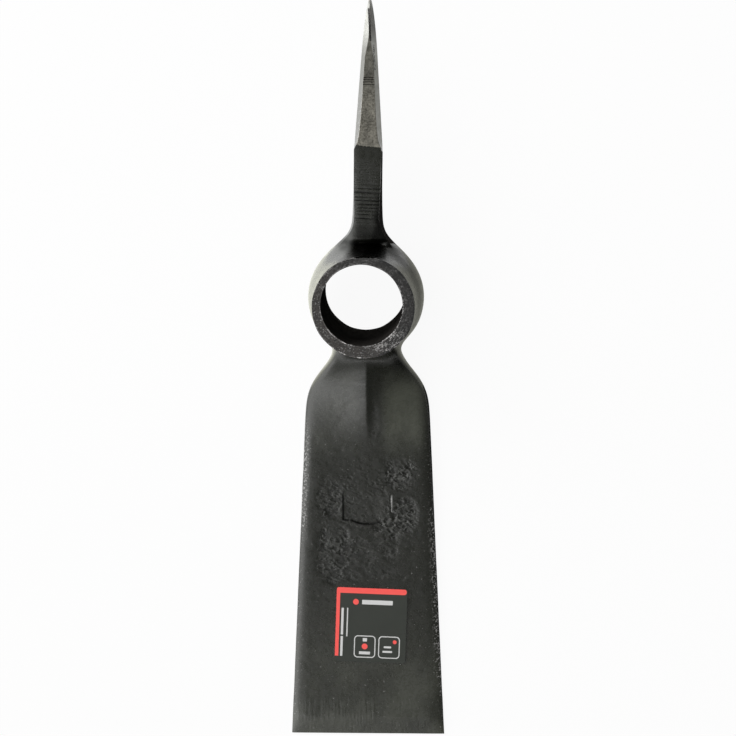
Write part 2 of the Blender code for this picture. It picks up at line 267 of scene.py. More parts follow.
def cut_gaps(mesh, low, high, longest):
    """Cut across y wherever the mesh's loops lie further apart than that."""
    grain = MM / 5
    levels = {round(vert.co.y / grain) * grain for vert in mesh.verts if low < vert.co.y < high}
    levels = sorted(levels)
    for near, far in zip(levels, levels[1:]):
        parts = math.ceil((far - near) / longest)
        for part in range(1, parts):
            place = (0, near + (far - near) * part / parts, 0)
            whole = mesh.verts[:] + mesh.edges[:] + mesh.faces[:]
            bmesh.ops.bisect_plane(mesh, geom=whole, plane_co=place, plane_no=(0, 1, 0))


def cut_across(mesh, low, high, step):
    """Cut the pick's upper face across at close, regular steps."""
    for level in np.arange(low, high, step):
        whole = set()
        for face in mesh.faces:
            if abs(face.calc_center_median().y - level) < 5 * MM and face.normal.z > 0.4:
                whole.update((face, *face.edges, *face.verts))
        bmesh.ops.bisect_plane(mesh, geom=list(whole), plane_co=(0, level, 0), plane_no=(0, 1, 0))


def quarter(mesh, inside, limit):
    """Quarter the four-sided faces that lie inside and are longer than the limit."""
    edges = set()
    for face in mesh.faces:
        if len(face.verts) == 4 and inside(face.calc_center_median()):
            if max(edge.calc_length() for edge in face.edges) > limit:
                edges.update(face.edges)
    bmesh.ops.subdivide_edges(mesh, edges=list(edges), cuts=1, use_grid_fill=True)


def in_stamped_zone(place):
    in_length = STAMPED_LOW_Y < place.y < STAMPED_HIGH_Y
    return in_length and abs(place.x) < STAMPED_HALF and place.z > 2 * MM


def in_relief(place):
    """Where the stamped zone has wrinkles or the panel's edges."""
    x, y = np.array([place.x]), np.array([place.y])
    near_panel = np.hypot(x - RECESS_MIDDLE[0], y - RECESS_MIDDLE[1]) < RECESS_SIZE[0] * 0.7
    near_notch = abs(place.x - NOTCH[0][0]) < MM and NOTCH[1][1] < place.y < NOTCH[0][1]
    return in_stamped_zone(place) and (patchwork(x, y)[0] > 0.08 or near_panel[0] or near_notch)


def in_wrinkles(place):
    return in_stamped_zone(place) and patchwork(np.array([place.x]), np.array([place.y]))[0] > 0.3


def on_root(place):
    """The pick's root, where the painted shade has a ragged end."""
    in_length = SHADE_LOW_Y - 4 * MM < place.y < FILED_LOW_Y + MM
    return in_length and abs(place.x) < 18 * MM and place.z > 14 * MM


def on_neck(place):
    return -32 * MM < place.y < 4 * MM and abs(place.x) < 25 * MM and place.z > 4 * MM


def in_hollow(place):
    across = abs(place.x - HOLLOW[0]) / HOLLOW_HALF[0]
    up = abs(place.y - HOLLOW[1]) / HOLLOW_HALF[1]
    return across < 1.8 and up < 1.8 and place.z > 20 * MM


def on_collar_face(place):
    along, out, _ = eye_places(np.array([place]))
    return along[0] > -0.5 * MM and out[0] < COLLAR_RADIUS + MM / 2


REFINED = (                        # each line quarters the faces there once, if longer than that
    (in_stamped_zone, 1.0 * MM),
    (in_stamped_zone, 1.0 * MM),
    (in_relief, 0.5 * MM),
    (in_wrinkles, 0.36 * MM),
    (on_root, 0.9 * MM),
    (on_root, 0.9 * MM),
    (on_neck, 1.2 * MM),
    (on_neck, 1.2 * MM),
    (in_hollow, 0.9 * MM),
    (on_collar_face, 0.9 * MM),
)


def fine_head(node):
    """A fine mesh of the forging: its sharp edges rounded, its facets smoothed away."""
    cage = bmesh.new()
    cage.from_mesh(node.data)
    bmesh.ops.remove_doubles(cage, verts=cage.verts, dist=1e-6)
    bmesh.ops.join_triangles(cage, faces=cage.faces, angle_face_threshold=math.radians(60),
                             angle_shape_threshold=math.pi)
    cut_gaps(cage, EDGE_Y - MM, BLADE_LOOPS_END, BLADE_STEP)
    cut_gaps(cage, PICK_LOOPS_START, cad_box[1][1] + MM, PICK_STEP)
    rounding = cage.edges.layers.float.new("bevel_weight_edge")
    crease = cage.edges.layers.float.new("crease_edge")
    for edge in cage.edges:
        edge[rounding] = edge_rounding(edge)
        if on_ridge(edge):
            edge[crease] = 0.5
    mesh = bpy.data.meshes.new("head_form")
    cage.to_mesh(mesh)
    cage.free()

    head = new_piece("head", mesh)
    rims = head.modifiers.new("rims", "BEVEL")
    rims.limit_method = "WEIGHT"
    rims.width = RIM_ROUNDING
    rims.segments = 2
    rounder = head.modifiers.new("rounder", "SUBSURF")
    rounder.levels = 1
    rounder.render_levels = 1
    head.data = applied(head)
    head.modifiers.clear()

    surface = bmesh.new()
    surface.from_mesh(head.data)
    for inside, limit in REFINED:
        quarter(surface, inside, limit)
    cut_across(surface, FILED_LOW_Y, FILED_HIGH_Y, FILE_PITCH / 6)
    cut_across(surface, GRIND_LOW_Y - MM, GRIND_HIGH_Y + MM, GRIND_PITCH / 6)
    surface.to_mesh(head.data)
    surface.free()
    return head


def panel(x, y):
    """The stamped panel: its depth, and a line, 0 to 1, on its steep left side and bowed foot."""
    from_middle = (x - RECESS_MIDDLE[0]) / RECESS_BOW_HALF
    left = (RECESS_MIDDLE[0] - RECESS_SIZE[0] / 2) - x
    right = x - (RECESS_MIDDLE[0] + RECESS_SIZE[0] / 2)
    bow = np.maximum(RECESS_BOW * (1 - from_middle**2), 0)
    over = y - (RECESS_MIDDLE[1] + RECESS_SIZE[1] / 2)
    under = (RECESS_MIDDLE[1] - RECESS_SIZE[1] / 2) - bow - y
    steep = 1 - smooth_step(np.maximum(left, under), -0.5 * MM, 0.35 * MM)
    soft = (1 - smooth_step(right, -9 * MM, MM)) * (1 - smooth_step(over, -9 * MM, MM))
    ends = (1 - smooth_step(right, -6 * MM, -2 * MM)) * (1 - smooth_step(over, -2 * MM, 0))
    line = np.exp(-(np.maximum(left, under) / (0.36 * MM + 0.14 * bow))**2)
    return RECESS_DEPTH * steep * soft, line * ends


def patchwork(x, y):
    """How wrinkled the blade's face is, from the patches seen in the photograph."""
    total = np.zeros(len(x))
    for (middle_x, middle_y), (half_x, half_y), strength in WRINKLE_PATCHES:
        reach = np.hypot((x - middle_x) / half_x, (y - middle_y) / half_y)
        total = np.maximum(total, strength * (1 - smooth_step(reach, 0.55, 1.15)))
    return total


def crests(points):
    """Thin crooked crests in forging scale, 1 on the crest and 0 beside it."""
    bend = np.stack([fractal(points, 3 * MM, 2, seed) for seed in (141, 151, 161)], 1)
    bent = points + 0.8 * MM * bend
    lengthways = 0.5 * (0.92 * bent[:, 0] - 0.38 * bent[:, 1])
    across = 1.25 * (0.38 * bent[:, 0] + 0.92 * bent[:, 1])
    folds = np.abs(fractal(np.stack([lengthways, across, bent[:, 2]], 1), 1.6 * MM, 2, 171))
    return np.clip(1 - folds / 0.30, 0, 1)


def hollow(x, y):
    """The hollow behind the pick's root, 0 to 1: it eases out at both ends and up the pick."""
    across = np.abs(x - HOLLOW[0]) / HOLLOW_HALF[0]
    up = (y - HOLLOW[1]) / HOLLOW_HALF[1]
    return (1 - smooth_step(across, 0.55, 1.45)) * (1 - smooth_step(up, 0.5, 1.25))


def file_rows(points):
    """File marks across the pick's painted face, 0 to 1."""
    y = points[:, 1]
    wobble = fractal(points * (0.15, 1.0, 0.15), 5 * MM, 2, 71)
    slant = points[:, 0] * 0.04
    rows = smooth_step(np.sin(((y + slant) / FILE_PITCH + 0.45 * wobble) * 2 * math.pi), 0.25, 1.0)
    rows *= smooth_step(fractal(points * (0.8, 1.0, 0.3), 4.5 * MM, 2, 95), -0.5, 0.25)
    dense = between(y, FILED_LOW_Y + 2 * MM, FILED_DENSE_Y, 2 * MM)
    sparse = 0.3 * between(y, FILED_DENSE_Y, FILED_HIGH_Y - 4 * MM, 4 * MM)
    sparse *= smooth_step(fractal(points * (0.1, 1.0, 0.1), 3 * MM, 1, 97), -0.1, 0.3)
    return rows * np.maximum(dense, sparse)


def ground_rows(points):
    """Coarse grinding marks across the bare facet, 0 to 1."""
    y = points[:, 1]
    wobble = fractal(points, 6 * MM, 2, 91)
    rows = smooth_step(np.sin((y / GRIND_PITCH + 0.12 * wobble) * 2 * math.pi), -0.2, 0.9)
    return rows * between(y, GRIND_LOW_Y, GRIND_HIGH_Y, 0.4 * MM)


def dents(points, blade_face):
    """Depth of the slight unevenness on all but the ground point and the blade under the label."""
    x, y, _ = points.T
    bare = smooth_step(y, PAINT_END_RIGHT[1] - 1.2 * MM, PAINT_END_LEFT[1] + 0.2 * MM)
    under_label = between(x - LABEL_MIDDLE[0], -LABEL_HALF[0], LABEL_HALF[0], 3 * MM)
    under_label *= between(y - LABEL_MIDDLE[1], -LABEL_HALF[1], LABEL_HALF[1], 3 * MM)
    deep = FORGED_DEPTH * (1 - bare) * (0.5 + 0.5 * fractal(points, 16 * MM, 3, 11))
    deep += blade_face * PITTED_DEPTH * np.clip(fractal(points, 4.5 * MM, 3, 31) - 0.12, 0, 1)
    return deep * (1 - blade_face * under_label)


def notch_line(x, y):
    """The short line beside the panel, 0 to 1."""
    along = between(y, NOTCH[1][1], NOTCH[0][1], 0.6 * MM)
    return along * np.exp(-((x - NOTCH[0][0]) / (0.45 * MM))**2)


def ridge_groove(x, y):
    """The groove to the right of the rib's ridge, 0 to 1."""
    across = smooth_step(x, -0.3 * MM, 2.4 * MM) * (1 - smooth_step(x, 2.4 * MM, 11 * MM))
    return across * between(y, -20 * MM, -8 * MM, 16 * MM)


def shade_patches(points, facing_up):
    """Painted shade, nearly black and dull, 0 to 1: in a ring round the collar, on the pick's root and
    above the hollow, on the belly's right side, and left of the hollow.
    """
    x, y, z = points.T
    along, out, _ = eye_places(points)
    beside_collar = between(out, *COLLAR_RING, 1.4 * MM) * (along < MM) * (along > -24 * MM)
    beside_collar *= smooth_step(x, 4 * MM, 11 * MM)
    border = SHADE_EDGE[0] + 0.2 * (y - SHADE_EDGE[1]) + 2 * MM * fractal(points, 5 * MM, 3, 191)
    root = smooth_step(x - border, -1.5 * MM, 3 * MM) * between(y, SHADE_LOW_Y, SHADE_HIGH_Y, 3 * MM)
    above_hollow = facing_up * between(y, *ABOVE_HOLLOW_Y, 15 * MM) * smooth_step(x, -6 * MM, -3 * MM)
    right_belly = smooth_step(x, *SHADED_BELLY_X) * (z > 4 * MM) * between(y, *SHADED_BELLY_Y, 5 * MM)
    right_belly *= 0.45 + 0.2 * fractal(points, 5 * MM, 3, 201)
    from_corner = np.hypot(x - DULL_CORNER[0], y - DULL_CORNER[1])
    corner = 1 - smooth_step(from_corner, MM, 4.5 * MM)
    return np.max([0.85 * beside_collar, 0.7 * root, 0.5 * above_hollow, right_belly, 0.45 * corner], 0)


def forge(head):
    """Press the surface in where it was left uneven, and store the painted shade, the wrinkles and their
    crests.
    """
    mesh = head.data
    points = read_vectors(mesh, "co")
    normals = read_vectors(mesh, "normal")
    x, y, z = points.T
    along, out, _ = eye_places(points)
    facing_up = smooth_step(normals[:, 2], 0.75, 0.95)
    blade_face = facing_up * (1 - smooth_step(y, -8 * MM, 4 * MM))
    collar_face = (along > -0.6 * MM) & (out < COLLAR_RADIUS + MM) & (normals @ EYE_AXIS > 0.6)

    patchy = 0.35 + 0.65 * smooth_step(fractal(points, 6 * MM, 3, 41), -0.4, 0.25)
    ragged = patchwork(x, y) * patchy * blade_face
    crest = crests(points)
    creases = ragged * (1 - crest)
    pressed, panel_line = panel(x, y)
    rows = facing_up * file_rows(points)
    ground = facing_up * ground_rows(points)
    # the hollow is pressed in and painted black as shade
    pocket = hollow(x, y) * (z > 25 * MM) * (y > MOUTH[1] + 20 * MM)
    # painted shade: the file and grinding grooves, the crease bottoms, the panel's steep side and foot,
    # the hollow, and the shade patches
    painted_shade = np.max([0.85 * rows, 0.9 * ground, 0.42 * creases, 0.9 * blade_face * panel_line, pocket,
                   shade_patches(points, facing_up)], 0)

    deep = dents(points, blade_face) + CREASE_DEPTH * creases
    deep += WRINKLED_DEPTH * ragged * (0.5 + 0.5 * fractal(points, 4 * MM, 2, 45))
    deep += blade_face * (pressed + NOTCH_DEPTH * notch_line(x, y))
    deep += facing_up * GROOVE_DEPTH * ridge_groove(x, y)
    deep += FILED_DEPTH * rows + GROUND_DEPTH * ground
    deep += collar_face * SAWN_DEPTH * (0.5 + 0.5 * fractal(points, 1.5 * MM, 2, 81))
    points -= normals * deep[:, None]
    points[:, 2] -= pocket**1.5 * HOLLOW_DEPTH * smooth_step(y, MOUTH[1] + 22 * MM, MOUTH[1] + 28 * MM)
    mesh.vertices.foreach_set("co", points.astype(np.float32).ravel())
    for name, values in (("painted_shade", painted_shade), ("wrinkled", ragged), ("crest", ragged * crest)):
        stored = mesh.attributes.new(name, "FLOAT", "POINT")
        stored.data.foreach_set("value", values.astype(np.float32))
    mesh.update()


def paint_regions(head):
    """Material slots by region: 0 lacquer and bare steel, 1 the bore's dull scale, also on the pick's
    right side as painted shade, 2 the rough rims.
    """
    mesh = head.data
    count = len(mesh.polygons)
    centres = np.empty(count * 3, np.float32)
    normals = np.empty(count * 3, np.float32)
    mesh.polygons.foreach_get("center", centres)
    mesh.polygons.foreach_get("normal", normals)
    centres = centres.reshape(-1, 3).astype(float)
    normals = normals.reshape(-1, 3).astype(float)
    along, out, bore_out = eye_places(centres)
    tilt = normals @ EYE_AXIS
    in_eye = (out < COLLAR_RADIUS + 2 * MM) & (along < MM) & (along > -EYE_LENGTH - MM)
    bore = in_eye & (bore_out < BORE_RADIUS + 0.5 * MM) & (np.abs(tilt) < 0.5)
    rims = in_eye & (np.abs(along + EYE_LENGTH / 2) > EYE_LENGTH / 2 - MM) & (np.abs(tilt) > 0.6)
    y = centres[:, 1]
    # the pick's right side takes the bore's dull black as painted shade
    shaded_pick_side = (normals[:, 0] > 0.55) & (y > PICK_SIDE_Y) & (y < PAINT_END_RIGHT[1] - MM)
    slots = np.where(bore | shaded_pick_side, 1, np.where(rims, 2, 0)).astype(np.int32)
    mesh.polygons.foreach_set("material_index", slots)
    mesh.update()


class Nodes:
    """Short hand for building the node tree of a material or a world."""

    def __init__(self, owner):
        owner.use_nodes = True
        self.owner = owner
        self.tree = owner.node_tree
        coordinates = self.add("TexCoord").outputs
        self.place = coordinates["Object"]
        self.facing = coordinates["Normal"]
        self.direction = coordinates["Generated"]

    def add(self, kind):
        return self.tree.nodes.new("ShaderNode" + kind)

    def link(self, output, socket):
        self.tree.links.new(output, socket)

    def feed(self, socket, value):
        if isinstance(value, bpy.types.NodeSocket):
            self.link(value, socket)
        else:
            socket.default_value = value

    def set(self, **values):
        """Feed the shader's inputs, named with underscores for spaces."""
        for name, value in values.items():
            self.feed(self.tree.nodes["Principled BSDF"].inputs[name.replace("_", " ")], value)

    def math(self, operation, *values):
        node = self.add("Math")
        node.operation = operation
        for socket, value in zip(node.inputs, values):
            self.feed(socket, value)
        return node.outputs[0]

    def times(self, *values):
        product = values[0]
        for value in values[1:]:
            product = self.math("MULTIPLY", product, value)
        return product

    def most(self, *values):
        result = values[0]
        for value in values[1:]:
            result = self.math("MAXIMUM", result, value)
        return result

    def remap(self, value, low, high, to_low=0.0, to_high=1.0):
        node = self.add("MapRange")
        node.interpolation_type = "SMOOTHSTEP"
        for socket, number in zip(node.inputs, (value, low, high, to_low, to_high)):
            self.feed(socket, number)
        return node.outputs[0]

    def between(self, value, low, high, soft):
        rise = self.remap(value, low - soft, low)
        return self.times(rise, self.remap(value, high, high + soft, 1.0, 0.0))

    def patch(self, x, y, spans):
        """1 inside a soft-edged box, given as low, high and soft border across and up."""
        return self.times(self.between(x, *spans[0]), self.between(y, *spans[1]))

    def noise(self, scale, detail=4.0, roughness=0.6, place=None, distortion=0.0):
        node = self.add("TexNoise")
        node.inputs["Scale"].default_value = scale
        node.inputs["Detail"].default_value = detail
        node.inputs["Roughness"].default_value = roughness
        node.inputs["Distortion"].default_value = distortion
        self.link(place or self.place, node.inputs["Vector"])
        return node.outputs["Fac"]

    def stretched(self, stretch):
        node = self.add("Mapping")
        node.inputs["Scale"].default_value = stretch
        self.link(self.place, node.inputs["Vector"])
        return node.outputs["Vector"]

    def axes(self, vector=None):
        node = self.add("SeparateXYZ")
        self.link(vector or self.place, node.inputs[0])
        return node.outputs[0], node.outputs[1], node.outputs[2]

    def stored(self, name):
        """A value that the mesh carries at its points."""
        node = self.add("Attribute")
        node.attribute_name = name
        return node.outputs["Fac"]

    def rings(self, x, y, out, pull):
        """A place for noise that is drawn out round the origin."""
        node = self.add("CombineXYZ")
        self.link(self.times(self.math("DIVIDE", x, out), pull), node.inputs[0])
        self.link(self.times(self.math("DIVIDE", y, out), pull), node.inputs[1])
        self.link(out, node.inputs[2])
        return node.outputs[0]

    def distance(self, x, y, centre, stretch_y=1.0):
        """Distance of (x, y) from a centre, with y stretched first."""
        across = self.math("SUBTRACT", x, centre[0])
        up = self.times(self.math("SUBTRACT", y, centre[1]), stretch_y)
        squares = self.math("ADD", self.times(across, across), self.times(up, up))
        return self.math("SQRT", squares)

    def strip(self, x, y, ends, half):
        """1 along a narrow straight strip between two places."""
        (start_x, start_y), (end_x, end_y) = ends
        length = math.dist(*ends)
        step_x, step_y = (end_x - start_x) / length, (end_y - start_y) / length
        right = self.math("SUBTRACT", x, start_x)
        above = self.math("SUBTRACT", y, start_y)
        along = self.math("ADD", self.times(right, step_x), self.times(above, step_y))
        off = self.math("SUBTRACT", self.times(above, step_x), self.times(right, step_y))
        width = self.remap(self.math("ABSOLUTE", off), half * 1.3, half * 0.7)
        return self.times(width, self.between(along, 0, length, half))

    def mix(self, share, first, second):
        node = self.add("Mix")
        node.data_type = "RGBA"
        self.feed(node.inputs["Factor"], share)
        self.feed(node.inputs[6], first)
        self.feed(node.inputs[7], second)
        return node.outputs[2]

    def bump(self, height, distance, normal=None):
        node = self.add("Bump")
        node.inputs["Distance"].default_value = distance
        self.link(height, node.inputs["Height"])
        if normal is not None:
            self.link(normal, node.inputs["Normal"])
        return node.outputs["Normal"]


def grey(level, warmth=0.0):
    """A grey as a linear colour, a little warm or cool."""
    return (level * (1 + warmth), level, level * (1 - warmth), 1)


def new_look(name):
    return Nodes(bpy.data.materials.new(name))


def past_paint(look, x, y):
    """0 on the paint and 1 on the bare steel, with a slightly ragged border."""
    slope = (PAINT_END_RIGHT[1] - PAINT_END_LEFT[1]) / (PAINT_END_RIGHT[0] - PAINT_END_LEFT[0])
    past = look.math("MULTIPLY_ADD", x, -slope, y)
    past = look.math("ADD", past, slope * PAINT_END_LEFT[0] - PAINT_END_LEFT[1])
    past = look.math("ADD", past, look.remap(look.noise(900, 2), 0, 1, -0.4 * MM, 0.4 * MM))
    return look.remap(past, -0.1 * MM, 0.1 * MM)


def wear_and_notch_glint(look, x, y, from_side, on_blade):
    """Bare flecks, 0 to 1: chips down the blade's sides and a few strays, which are wear, and the notch's
    line, a painted highlight.
    """
    near_side = look.times(look.remap(from_side, 4.6 * MM, 0.6 * MM), on_blade)
    battered = look.between(look.math("MULTIPLY_ADD", x, 1.1, y), -110 * MM, -45 * MM, 22 * MM)
    flecks = look.math("MULTIPLY_ADD", battered, 0.085, look.noise(1050, 4, 0.65))
    chips = look.times(near_side, look.remap(flecks, 0.63, 0.68))
    stray = look.times(on_blade, look.remap(look.noise(1000, 3, 0.6), 0.69, 0.72))
    notch = look.times(look.strip(x, y, NOTCH, 0.3 * MM),
                       look.remap(look.noise(300, 3), 0.35, 0.6, 0.35, 1.0))
    return look.most(chips, look.times(stray, 0.7), notch)


def lacquer_colour(look, x, y, on_blade):
    """Black lacquer: lighter towards the cutting edge, dusty there and partly painted light; painted
    sheen on the neck's flanks, left of the pick's root and on the belly left of the eye; painted
    highlights down the left edge, on the notch and on the wrinkles' crests.
    """
    taper = (EDGE_HALF - SHOULDER_HALF) / SIDE_LENGTH
    half = look.math("MULTIPLY_ADD", y, -taper, EDGE_HALF + taper * EDGE_Y)
    from_side = look.math("SUBTRACT", half, look.math("ABSOLUTE", x))
    from_left = look.math("ADD", half, x)
    from_corner = look.math("ADD", from_side, look.math("SUBTRACT", y, EDGE_Y))
    clouded = look.remap(look.noise(45, 5), 0.35, 0.65, 0.35, 1.0)
    # lighter towards the cutting edge and its corners: dusty, and partly painted light where the bevel
    # faces the light; the band down the left edge is a painted highlight
    dust_and_sheen = look.most(look.remap(from_left, 9 * MM, 1 * MM, 0.0, 0.1),
                     look.remap(from_corner, 26 * MM, 4 * MM),
                     look.remap(y, EDGE_Y + 85 * MM, EDGE_Y + 2 * MM, 0.0, 0.9))
    # painted sheen on the neck's left flank joins it
    dust_and_sheen = look.most(look.times(dust_and_sheen, on_blade), look.times(look.patch(x, y, LEFT_SHEEN), 0.4))
    # painted sheen on the neck's right flank
    sheen_on_neck = look.patch(x, y, NECK_SHEEN)
    # painted sheen on the left of the pick's root and on the belly left of the eye, one grey for both
    left_root = look.times(look.remap(x, -5.0 * MM, -8.5 * MM), look.between(y, *SHEEN_ROOT_Y, 8 * MM))
    eye_out = look.distance(x, y, (0, MOUTH[1]), 1 / EYE_AXIS[2])
    on_belly = look.times(look.remap(eye_out, 25.5 * MM, 31 * MM), look.remap(x, -1 * MM, -16 * MM),
                          look.remap(y, MOUTH[1] - 27 * MM, MOUTH[1] + 2 * MM))
    painted_sheen = (0.10, 0.103, 0.097, 1)

    black = look.mix(look.noise(26, 4), (0.0095, 0.0105, 0.0072, 1), (0.0145, 0.0155, 0.0105, 1))
    black = look.mix(look.times(dust_and_sheen, clouded), black, (0.050, 0.053, 0.040, 1))
    black = look.mix(look.times(sheen_on_neck, clouded), black, (0.068, 0.072, 0.055, 1))
    black = look.mix(look.times(left_root, clouded), black, painted_sheen)
    black = look.mix(on_belly, black, painted_sheen)
    # chips and strays of wear, and the notch's painted highlight
    black = look.mix(wear_and_notch_glint(look, x, y, from_side, on_blade), black, grey(0.36, 0.02))
    # the wrinkles' crests lighter: a painted highlight
    crest = look.stored("crest")
    return look.mix(look.times(crest, crest, 0.75), black, (0.068, 0.070, 0.062, 1))


def ground_colour(look, x, y):
    """Bare steel: a speckled facet, plainer ground sides coloured by the way they face, with painted
    highlights on the left and painted shade on the right, and a dark strip left near the point as painted
    shade.
    """
    rightward, _, upright = look.axes(look.facing)
    fine, coarse = look.noise(1100, 3, 0.7), look.noise(260, 4)
    specks = look.math("ADD", look.times(fine, 0.6), look.times(coarse, 0.4))
    facet = look.mix(look.remap(specks, 0.36, 0.64), (0.185, 0.177, 0.150, 1), (0.53, 0.508, 0.434, 1))
    facet = look.mix(look.remap(y, *DULLER_FACET_Y, 0.0, 0.45), facet, (0.15, 0.15, 0.135, 1))
    # the sides coloured by the way they face: the right darker as painted shade, lighter towards the
    # point
    right = look.mix(look.remap(y, *BRIGHTER_SIDE_Y), (0.22, 0.22, 0.20, 1), (0.46, 0.46, 0.43, 1))
    side = look.mix(look.remap(rightward, -0.1, 0.3), (0.36, 0.36, 0.34, 1), right)
    # bright spots on the left side only: painted highlights
    bright = look.times(look.remap(look.noise(900, 3), 0.56, 0.66), look.remap(rightward, 0.1, -0.2),
                        look.remap(y, *BRIGHT_SPOTS_Y, 1.0, 0.0))
    side = look.mix(bright, side, grey(0.65))
    steel = look.mix(look.remap(upright, 0.86, 0.96), side, facet)
    # a dark strip beside the ridge near the point, painted shade, and dark dots along the facet
    dots = look.times(look.strip(x, y, FACET_DOTS, 0.35 * MM),
                      look.remap(look.noise(1300, 2), 0.45, 0.55))
    strip = look.times(look.strip(x, y, TIP_STRIP, 0.5 * MM),
                       look.remap(look.noise(1300, 3), 0.35, 0.5, 0.5, 1.0))
    return look.mix(look.most(strip, dots), steel, grey(0.04, 0.03))


def steel_bumps(look, y, on_blade, fine):
    """Relief too fine for the mesh: grain, folds in the scale, file lines, streaks at the edge."""
    folds = look.noise(520, 3, 0.6, look.stretched((0.7, 1.1, 1.0)), distortion=0.5)
    folds = look.remap(look.math("ABSOLUTE", look.math("SUBTRACT", folds, 0.5)), 0.0, 0.09)
    where = look.math("MULTIPLY_ADD", look.stored("wrinkled"), 0.9, look.times(on_blade, 0.06))
    across_pick = look.noise(1500, 3, 0.6, look.stretched((0.05, 1.0, 0.05)))
    filed = look.between(y, FILED_LOW_Y, FILED_HIGH_Y, 3 * MM)
    lines = look.times(look.math("SUBTRACT", across_pick, 0.5), filed)
    brushed = look.noise(700, 3, 0.6, look.stretched((1.0, 0.07, 1.0)))
    at_edge = look.between(y, EDGE_Y + 2.4 * MM, EDGE_Y + 17 * MM, 3 * MM)
    streaks = look.times(look.math("SUBTRACT", brushed, 0.5), at_edge,
                         look.remap(look.noise(60, 2), 0.4, 0.6))
    normal = look.bump(fine, 0.05 * MM)
    normal = look.bump(look.noise(150, 5, 0.6), 0.16 * MM, normal)
    normal = look.bump(look.times(folds, where, -1.0), 0.12 * MM, normal)
    normal = look.bump(lines, 0.3 * MM, normal)
    return look.bump(streaks, 0.16 * MM, normal)


def steel_finish():
    """Black lacquer over forging scale, and bare steel on the ground point, both turned near black where
    shade is painted.
    """
    look = new_look("forged_steel")
    x, y, _ = look.axes()
    bare = past_paint(look, x, y)
    on_blade = look.remap(y, -20 * MM, -40 * MM)
    # painted shade stored on the mesh: it turns the surface near black and without gloss
    painted_shade = look.stored("painted_shade")
    unshaded = look.mix(bare, lacquer_colour(look, x, y, on_blade), ground_colour(look, x, y))
    look.set(Base_Color=look.mix(painted_shade, unshaded, (0.0045, 0.0045, 0.0040, 1)),
             Metallic=look.most(bare, painted_shade), IOR=1.8)

    fine = look.noise(420, 6, 0.65)
    dull_corner = look.remap(look.distance(x, y, DULL_CORNER), 6 * MM, 2.5 * MM, 0.0, 0.35)
    film = look.math("ADD", look.remap(fine, 0.3, 0.7, 0.23, 0.33), dull_corner)
    film = look.times(film, look.math("SUBTRACT", 1.0, bare))
    metal = look.times(look.remap(look.noise(300, 4, 0.7), 0.3, 0.7, 0.36, 0.52), bare)
    look.set(Roughness=look.math("ADD", film, metal), Normal=steel_bumps(look, y, on_blade, fine))
    return look.owner


def bore_and_side_shade_finish():
    """The bore: dull black scale, as it came from the punch; the same dull black on the pick's right side
    is painted shade.
    """
    look = new_look("bore_scale_and_side_shade")
    cloud = look.noise(120, 5)
    look.set(Base_Color=look.mix(cloud, grey(0.010), grey(0.040, 0.10)), Specular_IOR_Level=0.0,
             Roughness=look.remap(cloud, 0.3, 0.7, 0.75, 0.9))
    look.set(Normal=look.bump(look.noise(500, 5), 0.15 * MM))
    return look.owner


def rim_finish():
    """The collar's sawn face: rough dark grey, darker towards the upper right and at its right edge as
    painted shade, with bright burrs along both rims and at one corner.
    """
    look = new_look("sawn_rim")
    x, y, _ = look.axes()
    stretch = 1 / EYE_AXIS[2]
    out = look.distance(x, y, (0, MOUTH[1]), stretch)
    bore_middle = (BORE_DRIFT[0], MOUTH[1] + BORE_DRIFT[1] * EYE_AXIS[2])
    bore_out = look.distance(x, y, bore_middle, stretch)
    from_burrs = look.distance(x, y, BURR_CORNER)

    grain = look.noise(1500, 5, 0.75)
    face = look.mix(look.remap(grain, 0.36, 0.64), grey(0.007), grey(0.055, 0.12))
    face = look.mix(look.remap(look.noise(1250, 3, 0.6), 0.60, 0.68), face, grey(0.30))
    # darker towards the upper right: painted shade
    away = look.remap(look.math("ADD", x, look.times(y, 0.6)), 4 * MM, 30 * MM, 0.0, 0.8)
    face = look.mix(away, face, grey(0.010))
    in_shade = look.times(look.remap(out, 24.5 * MM, 25.1 * MM), look.remap(x, 3 * MM, 12 * MM))
    face = look.mix(in_shade, face, grey(0.006))
    round_eye = look.rings(x, look.math("SUBTRACT", y, MOUTH[1]), out, 8 * MM)
    arcs = look.noise(900, 4, 0.65, round_eye, distortion=0.4)
    arc_line = look.remap(look.math("ABSOLUTE", look.math("SUBTRACT", arcs, 0.5)), 0.05, 0.02)
    flakes = look.remap(look.noise(1000, 5, 0.8), 0.47, 0.56)
    broken = look.times(flakes, look.remap(look.noise(130, 2), 0.42, 0.56, 0.1, 1.0))

    def rim_line(from_rim, place):
        off = look.math("ABSOLUTE", look.math("SUBTRACT", from_rim, place))
        return look.remap(off, 0.36 * MM, 0.12 * MM)

    rims = look.most(rim_line(out, COLLAR_RADIUS - 0.35 * MM), rim_line(bore_out, BORE_RADIUS + 0.3 * MM))
    rims = look.times(rims, look.math("SUBTRACT", 1.0, in_shade))
    lower = look.remap(y, MOUTH[1] + 14 * MM, MOUTH[1] - 12 * MM, 0.35, 1.0)
    corner = look.remap(from_burrs, 14 * MM, 5 * MM, 0.12, 0.7)
    burrs = look.times(look.most(look.times(rims, lower), look.times(arc_line, corner)), broken)
    look.set(Base_Color=look.mix(burrs, face, grey(0.80, 0.02)), IOR=1.5,
             Metallic=look.times(burrs, 0.5), Roughness=look.remap(grain, 0.3, 0.7, 0.4, 0.65))
    look.set(Normal=look.bump(look.noise(1300, 5, 0.75), 0.22 * MM))
    return look.owner


